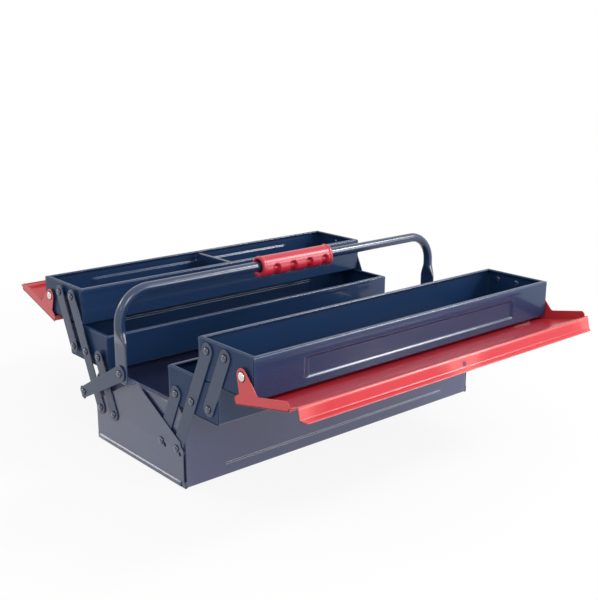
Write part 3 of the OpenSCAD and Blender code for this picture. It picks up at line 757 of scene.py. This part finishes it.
for end, endSign in ends.items():
    parts = []
    for side, sign in sides.items():
        lo, hi = nodeBox(f"{side}_long_arm_{end}")
        spacer = None
        headAt = hi[0] + coverLook["play"] + baseLook["sheet"]
        if side == linkSides[end]:
            headAt = hi[0] + rivetLook["headGap"]
            spacer = (rivetLook["spacer"], sheetFace, lo[0] - coverLook["play"] - baseLook["sheet"])
        for centre in (pivot("rear_fold"), pivot("rear_low_arms")):
            parts += [placed(p, sign, endSign) for p in rivetParts(centre, headAt, spacer)]
    piece(f"baseRivets{end.title()}", parts, "base", [f"base_rivets_{end}"], "navy_rivet")

trayPivots = {
    "mid": [pivot("rear_mid_tray"), pivot("rear_mid_tray") - across, pivot("rear_high_arms")],
    "top": [pivot("rear_top_tray"), pivot("rear_top_tray") + across],
}
for side, sign in sides.items():
    for end, endSign in ends.items():
        lo, hi = nodeBox(f"{side}_long_arm_{end}")
        headAt = hi[0] + rivetLook["headGap"]
        spacer = None
        if side == linkSides[end]:
            spacer = (rivetLook["spacer"], sheetFace, lo[0] - rivetLook["play"])
        for level, centres in trayPivots.items():
            parts = [p for c in centres for p in rivetParts(c, headAt, spacer)]
            piece(f"{side}{level.title()}Rivets{end.title()}", parts, f"{side}_{level}_tray",
                  [f"{side}_{level}_rivets_{end}"], "navy_rivet", side=sign, end=endSign)
    earFace = nodeBox(f"{side}_lid")[1][0]
    spacer = (rivetLook["lidSpacer"], sheetFace, earFace - baseLook["sheet"] - rivetLook["play"])
    parts = rivetParts(pivot("rear_lid"), earFace + rivetLook["headGap"], spacer, rivetLook["lidHead"],
                       rivetLook["lidHeadHeight"])
    piece(f"{side}LidRivets", [placed(p, sign, endSign) for endSign in ends.values() for p in parts],
          f"{side}_top_tray", [f"{side}_lid_rivets"], "nickel")

for end, endSign in ends.items():
    side = linkSides[end]
    head, r, spacer = rivetLook["head"], rivetLook["shank"], rivetLook["spacer"]
    linkLo, linkHi = nodeBox(f"link_{end}")
    armFace = nodeBox(f"{side}_long_arm_{end}")[1][0]
    spacerEnd, headAt = linkLo[0] - rivetLook["play"], linkHi[0] + rivetLook["headGap"]
    stud = [(0, armFace), (spacer, armFace), (spacer, spacerEnd), (r, spacerEnd), (r, headAt)]
    for name, centre, foot, x, body, node in (
        ("Stud", pivot("rear_link"), stud, headAt, f"{side}_long_arms", f"{side}_link_stud"),
        ("Cap", legPivot, [(0, linkHi[0])], linkHi[0], f"{side}_link", f"link_cap_{end}"),
    ):
        parts = [lathePart(centre, foot + domed(head, x)), headRing(centre, x, head)]
        piece(f"{side}Link{name}", parts, body, [node], "navy_rivet", side=sides[side], end=endSign)

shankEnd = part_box("handle_rivets")[1][0]
legInner = shankEnd - legLook["thick"]
shank = [(radius, legInner + x) for radius, x in rivetLook["legTail"]]
shank += [(rivetLook["shank"], legInner), (rivetLook["shank"], shankEnd), (0, shankEnd)]
piece("handleRivets", [placed(lathePart(legPivot, shank), 1, endSign) for endSign in ends.values()], "handle",
      ["handle_rivets"], "navy_rivet")
print("rivets made")


lidLook = dict(lengths(
    sheet=1.0, rise=29.8, step=3.6, strip=8, flange=11, short={"front": 5.4, "rear": -1.2},
    lip={"front": 13.3, "rear": 12.2}, cap={"front": 6.6, "rear": 0}, over=1.35, hem=7, bend=2.3,
    stepBend=1.7, lipRound=1.2, lipRoundFrom=4, lipInset=5, lipStep=1.5, panelStep=12, edge=0.35,
    ear=9, earNeck=16, neckDrop=8.8, neckRound=3, earSlope=22, earRound=4, earCorner=1, stripCorner=0.6,
    flangeSlope=3, flangeRound=2.6, stepLead=0.8, stripPlay=0.4, lipFoot=5, neckFoot=2,
    padlock=3, padlockWeb=1, holeBay=9, bayJoin=0.02, bayEdge=0.02, bayLow=0.7, bayHigh=0.4, bayOverlap=0.3,
), slope={"front": 11.4, "rear": 16.3}, capTilt=30, earTurn=34)  # the last three in degrees


# The lid's sheet in section, from the hem over the panel and down the step to the strip.
def lidPanel(back, edge, top, stripTop, x1):
    look = lidLook
    t, mid = look["sheet"], look["sheet"] / 2
    stepU = edge + look["strip"] + mid
    path = bentPath([
        (back - mid, look["rise"] - look["hem"]), (back - mid, top - mid),
        (stepU + look["stepLead"], top - mid), (stepU, stripTop - mid),
        (edge + mid + look["bend"] + look["stripPlay"], stripTop - mid),
    ], [look["bend"], look["stepBend"], look["stepBend"]])
    return sweepPart(sheetLoop(refined(path, lambda p: look["panelStep"]), t), np.linspace(-x1, x1, 21), x1)


# The lip's middle, where the padlock hole is: the section below the hole, the section above it with the cap,
# and between them a flat plate across the lip with the round hole.
def lipCentre(path, lipMid, holeZ):
    look = lidLook
    t, r = look["sheet"], look["padlock"]
    bay, overlap = look["holeBay"] + look["bayJoin"], look["bayOverlap"]
    cutLow, cutHigh = holeZ - r - look["bayLow"], holeZ + r + look["bayHigh"]
    below = np.concatenate([path[path[:, 1] < cutLow], [[lipMid, cutLow]]])
    above = np.concatenate([[[lipMid, cutHigh]], path[path[:, 1] > cutHigh]])
    parts = [sweepPart(sheetLoop(run, t), np.array([-bay, bay]), bay) for run in (below, above)]
    low, high = cutLow - overlap, cutHigh + overlap
    outline = [(-bay, low), (bay, low), (bay, high), (-bay, high)]
    verts, faces = platePart(outline, lipMid - t / 2, lipMid + t / 2, look["bayEdge"], 1,
                             holes=[arcPoints((0, holeZ), r, 0, 350, 35)])
    return parts + [(verts[:, [1, 0, 2]], faces)]


# The upstanding lip with its cap, if it has one. It is shorter than the strip, and without a cap its upper
# corners are rounded.
def lidLip(side, edge, stripTop, x1):
    look = lidLook
    t, mid = look["sheet"], look["sheet"] / 2
    lipMid, lipTop, cap = edge + mid, stripTop + look["lip"][side], look["cap"][side]
    corners = [(lipMid + look["lipFoot"], stripTop - mid), (lipMid, stripTop - mid), (lipMid, lipTop - mid)]
    if cap:
        tilt = math.radians(look["capTilt"])
        corners.append((lipMid - cap * math.cos(tilt), lipTop - mid + cap * math.sin(tilt)))
    path = refined(bentPath(corners, [look["bend"]] * (len(corners) - 2)), lambda p: look["lipStep"])
    loop = sheetLoop(path, t)
    lipX = x1 - look["lipInset"]
    beyond = np.clip(edge - loop[:, 0], 0, 1)
    rounding = 0 if cap else look["lipRound"] * smoothstep(lipTop - look["lipRoundFrom"], lipTop, loop[:, 1])
    half = sweepPart(loop, np.linspace(look["holeBay"], lipX, 12), lipX - beyond - rounding)
    holeZ = stripTop + look["lip"]["rear"] - look["padlockWeb"] - look["padlock"]
    return [placed(half, 1, s) for s in (-1, 1)] + lipCentre(path, lipMid, holeZ)


# An end flange and the ear that carries the hinge rivet, in one plate.
def lidEar(back, edge, top, x1):
    look = lidLook
    ear, rise, slope, turn = look["ear"], look["rise"], look["flangeSlope"], look["earTurn"]
    flangeZ, stripU, a = top - look["flange"], edge + look["strip"], math.radians(look["earTurn"])
    neckZ = rise - look["neckDrop"]
    outer = bentPath([
        (ear, 0), (ear, neckZ - look["neckFoot"]), (look["earNeck"], neckZ), (back, rise), (back, top),
    ], [look["neckRound"], look["neckRound"], look["earCorner"]])
    inner = bentPath([
        (back, top), (stripU, top), (stripU, flangeZ + slope), (stripU + slope, flangeZ),
        (-look["earSlope"], flangeZ), (-ear * math.cos(a), -ear * math.sin(a)),
    ], [look["stripCorner"], look["flangeRound"], look["flangeRound"], look["earRound"]])
    outline = np.concatenate([arcPoints((0, 0), ear, 180 + turn, 360, 22), outer[1:], inner[1:-1]])
    return platePart(outline, x1 - look["sheet"], x1, look["edge"])


# A lid is made closed, with its pivot at the origin, and then turned open about it.
def lidParts(side):
    look = lidLook
    x1 = nodeBox(f"{side}_lid")[1][0]
    at = pivot("rear_lid")
    back = nodeBox("rear_top_shell")[1][1] - at[0] + look["over"]
    travel = pivot("rear_top_tray") - pivot("rear_mid_tray")
    edge = 4 * travel[0] - at[0] + look["short"][side]
    top = look["rise"] + look["sheet"]
    stripTop = top - look["step"]
    plate = lidEar(back, edge, top, x1)
    parts = [lidPanel(back, edge, top, stripTop, x1), *lidLip(side, edge, stripTop, x1)]
    parts += [plate, placed(plate, 1, -1)]
    turn = -math.radians(180 - look["slope"][side])
    opened = []
    for verts, faces in parts:
        section = turned2d(verts[:, 1:], math.cos(turn), math.sin(turn)) + at
        opened.append((np.column_stack([verts[:, 0], section]), faces))
    return opened


for side, sign in sides.items():
    piece(f"{side}Lid", lidParts(side), f"{side}_lid", [f"{side}_lid"], "red_enamel", side=sign)
print("lids made")


handleLook = dict(lengths(bend=39, flatWidth=25, legRound=7, blend=2), squash=0.07, bulge=0.035, flatPower=6)


# A superellipse section carried along the leg, the bend, the bar and down again. Its half width goes
# from the tube's radius to the flat leg's, and its exponent from 2 for round to 6 for flat.
def handlePart():
    look = handleLook
    lo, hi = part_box("handle_bar")
    r, barZ = (hi[2] - lo[2]) / 2, (hi[2] + lo[2]) / 2
    bend, legX, legZ = look["bend"], hi[0] + look["bend"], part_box("handle_side_right")[0][2]
    flat, taper, legRound = legLook["flat"], legLook["taper"], look["legRound"]
    low = legZ + legRound * (1 - np.cos(np.linspace(0, math.pi / 2, 8)))
    up = np.concatenate([low[:-1], np.linspace(low[-1], flat, 8)[:-1], np.linspace(flat, flat + taper, 14),
                         [barZ - bend]])
    a = np.linspace(0, math.pi / 2, 20)[1:]
    half = np.linspace(legX - bend, 0, 9)[1:]
    xs = np.concatenate([np.full(len(up), legX), legX - bend + bend * np.cos(a), half])
    zs = np.concatenate([up, barZ - bend + bend * np.sin(a), np.full(len(half), barZ)])
    turn = np.concatenate([np.zeros(len(up)), a, np.full(len(half), math.pi / 2)])
    xs, zs = np.concatenate([xs, -xs[-2::-1]]), np.concatenate([zs, zs[-2::-1]])
    turn = np.concatenate([turn, math.pi - turn[-2::-1]])
    t = smoothstep(flat - look["blend"], flat + taper, zs)
    bow = np.sin(np.clip(2 * np.minimum(turn, math.pi - turn), 0, math.pi))
    wide = (look["flatWidth"] / 2 * (1 - t) + r * t) * (1 + look["bulge"] * bow)
    thick = (legLook["thick"] / 2 * (1 - t) + r * t) * (1 - look["squash"] * bow)
    wide = wide - roundIn(legRound, legRound - (zs - legZ)) * (zs < flat)
    power = 2 / (look["flatPower"] * (1 - t) + 2 * t)
    th = np.linspace(0, 2 * math.pi, 36, endpoint=False)
    c = np.sign(np.cos(th)) * np.abs(np.cos(th)) ** power[:, None]
    s = np.sign(np.sin(th)) * np.abs(np.sin(th)) ** power[:, None]
    off = thick[:, None] * s
    points = np.stack([xs[:, None] + off * np.cos(turn)[:, None], wide[:, None] * c,
                       zs[:, None] + off * np.sin(turn)[:, None]], 2)
    verts, faces = gridPart(points, loopRows=False, loopCols=True)
    n = len(th)
    faces += [list(range(n)), list(range((len(xs) - 1) * n, len(xs) * n))]
    return verts, faces


gripLook = dict(
    lengths(radius=12.5, lobe=15, groove=3.8, grooveWidth=5.2, grooves=(-37.5, -9.5, 18.5, 46), rim=0.7,
            rimWidth=4, rimSlope=2, edge=2.2, step=0.6, socket=8.6, socketDepth=6, socketChamfer=0.8,
            tube=6.45),
    # degrees from the top over which a hollow deepens, reaches its full width and turns shallow
    deepens=(74, 100), widens=(72, 110), shallows=(138, 170), lobeFrom=(-0.1, 0.7), shallow=0.35, narrow=0.55,
)


# Round in section, thicker below. Each finger hollow takes depth*exp(-(x/width)^4) off the radius. It starts
# with a steep arch at the height of the axis and runs out to a shallow dip underneath. The ends turn in over
# a quarter circle to a socket round the tube.
def gripPart():
    look = gripLook
    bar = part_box("handle_bar")
    zc = (bar[0][2] + bar[1][2]) / 2
    x0, x1 = (corner[0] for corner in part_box("handle_grip"))
    e = look["edge"]
    a = np.linspace(0, math.pi / 2, 6)
    xs = np.concatenate([x0 + e * (1 - np.cos(a))[:-1], np.arange(x0 + e, x1 - e, look["step"]),
                         (x1 - e * (1 - np.cos(a)))[::-1]])
    fromEnd = np.minimum(xs - x0, x1 - xs)
    th = np.linspace(0, 2 * math.pi, 120, endpoint=False)
    down = smoothstep(*look["lobeFrom"], -np.cos(th))[None, :]
    away = np.min(np.abs(xs[:, None] - np.array(look["grooves"])), 1)[:, None]
    fromTop = np.degrees(np.minimum(th, 2 * math.pi - th))[None, :]
    widening = smoothstep(*look["widens"], fromTop)
    width = look["grooveWidth"] * (look["narrow"] + (1 - look["narrow"]) * widening)
    depth = look["groove"] * smoothstep(*look["deepens"], fromTop)
    depth = depth * (1 - (1 - look["shallow"]) * smoothstep(*look["shallows"], fromTop))
    flare = look["rim"] * (1 - smoothstep(look["rimWidth"], look["rimWidth"] + look["rimSlope"], fromEnd))
    radius = (look["radius"] + flare)[:, None] * (1 - down) + look["lobe"] * down
    radius = radius - depth * np.exp(-(away / width) ** 4) - roundIn(e, e - fromEnd)[:, None]
    s, d, chamfer, tube = look["socket"], look["socketDepth"], look["socketChamfer"], look["tube"]
    front = [(x0 + d, tube), (x0 + d, s), (x0 + chamfer, s), (x0, s + chamfer)]
    rear = [(x1 + x0 - x, r) for x, r in reversed(front)]
    rings = [np.array(run)[:, :, None] + 0 * th for run in (front, rear)]
    xs = np.concatenate([rings[0][:, 0], xs[:, None] + 0 * th, rings[1][:, 0]])
    radius = np.concatenate([rings[0][:, 1], radius, rings[1][:, 1]])
    points = np.stack([xs, radius * np.sin(th), zc + radius * np.cos(th)], 2)
    return gridPart(points, loopRows=True, loopCols=True)


piece("handleTube", [handlePart()], "handle", ["handle_bar", "handle_side_left", "handle_side_right"],
      "navy_handle")
piece("handleGrip", [gripPart()], "handle", ["handle_grip"], "red_plastic")
print("handle made")


studio = {
    "floorSize": 60.0, "floorAlbedo": 0.82, "floorRoughness": 0.9, "worldLight": 0.6,
    "whiteShare": 0.88, "whiteFrom": (0.35, 1.3),  # the floor's own white, and where it becomes whole
    "lamps": {  # energy in W, size in m, place
        "keyLight": (15, (0.7, 0.7), (-0.7, -2.2, 1.25)),
        "sideLight": (34, (0.7, 0.5), (1.66, -1.17, 1.7)),
        "rearLight": (11, (0.9, 0.5), (-1.3, 2.05, 1.2)),
        "lowLight": (21, (1.0, 0.7), (1.5, -1.95, 0.75)),
        "leftLight": (2.5, (0.35, 0.35), (-2.0, -0.6, 1.2)),
    },
    "lampTarget": (0, 0, 0.1),
}


def combined(tree, operation, a, b):
    node = tree.nodes.new("ShaderNodeMath")
    node.operation = operation
    tree.links.new(a, node.inputs[0])
    tree.links.new(b, node.inputs[1])
    return node.outputs[0]


def seenBy(tree, *kinds):  # 1 for the given kinds of ray and 0 for the others
    rays = tree.nodes.new("ShaderNodeLightPath")
    seen = rays.outputs[kinds[0]]
    for kind in kinds[1:]:
        seen = combined(tree, "MAXIMUM", seen, rays.outputs[kind])
    return seen


# A pale floor that takes the shadows. What sees it directly or mirrored sees mostly white, and only white
# beyond the object's soft shadow.
def makeFloor():
    size = studio["floorSize"] / 2
    mesh = bpy.data.meshes.new("floor")
    corners = [(-size, -size, 0), (size, -size, 0), (size, size, 0), (-size, size, 0)]
    mesh.from_pydata(corners, [], [[0, 1, 2, 3]])
    mat = bpy.data.materials.new("paleFloor")
    mat.use_nodes = True
    tree = mat.node_tree
    shader = tree.nodes["Principled BSDF"]
    albedo = (studio["floorAlbedo"],) * 3
    setInputs(shader, {"Base Color": (*albedo, 1), "Roughness": studio["floorRoughness"]})
    white = tree.nodes.new("ShaderNodeEmission")
    away = tree.nodes.new("ShaderNodeVectorMath")
    away.operation = "LENGTH"
    tree.links.new(tree.nodes.new("ShaderNodeTexCoord").outputs["Object"], away.inputs[0])
    fade = ranged(tree, away.outputs["Value"], (studio["whiteShare"], 1), studio["whiteFrom"], smooth=True)
    share = combined(tree, "MULTIPLY", seenBy(tree, "Is Camera Ray", "Is Glossy Ray"), fade)
    mix = tree.nodes.new("ShaderNodeMixShader")
    for source, socket in zip((share, shader.outputs[0], white.outputs[0]), mix.inputs):
        tree.links.new(source, socket)
    tree.links.new(mix.outputs[0], tree.nodes["Material Output"].inputs["Surface"])
    mesh.materials.append(mat)
    added("floor", mesh)


def makeWorld():
    world = bpy.data.worlds.new("studio")
    bpy.context.scene.world = world
    world.use_nodes = True
    tree = world.node_tree
    sky = tree.nodes["Background"]
    seen = seenBy(tree, "Is Camera Ray", "Is Glossy Ray", "Is Transmission Ray")
    tree.links.new(ranged(tree, seen, (studio["worldLight"], 1)), sky.inputs["Strength"])
    setInputs(sky, {"Color": (1, 1, 1, 1)})


def makeLamp(name, energy, size, at):
    lamp = bpy.data.lights.new(name, "AREA")
    lamp.shape = "RECTANGLE"
    lamp.size, lamp.size_y = size
    lamp.energy = energy
    obj = added(name, lamp)
    obj.location = at
    obj.rotation_euler = (Vector(at) - Vector(studio["lampTarget"])).to_track_quat("Z", "Y").to_euler()


cameraLook = {
    "turn": -40.48, "height": 15.18, "centre": (10.15 * mm, 0, 160.52 * mm), "distance": 1318.91 * mm,
    "focalPixels": 974.87, "imageWidth": 598, "sensor": 36, "clipStart": 0.01,
}


def makeCamera():
    look = cameraLook
    turn, up = math.radians(look["turn"]), math.radians(look["height"])
    back = Vector((math.sin(turn) * math.cos(up), -math.cos(turn) * math.cos(up), math.sin(up)))
    camera = bpy.data.cameras.new("camera")
    camera.sensor_fit = "HORIZONTAL"
    camera.sensor_width = look["sensor"]
    camera.lens = look["focalPixels"] / look["imageWidth"] * look["sensor"]
    camera.clip_start = look["clipStart"]
    obj = added("camera", camera)
    obj.location = Vector(look["centre"]) + look["distance"] * back
    obj.rotation_euler = back.to_track_quat("Z", "Y").to_euler()
    bpy.context.scene.camera = obj


makeFloor()
makeWorld()
for name, lamp in studio["lamps"].items():
    makeLamp(name, *lamp)
makeCamera()
bpy.context.scene.view_settings.view_transform = "Standard"

print("stage set")
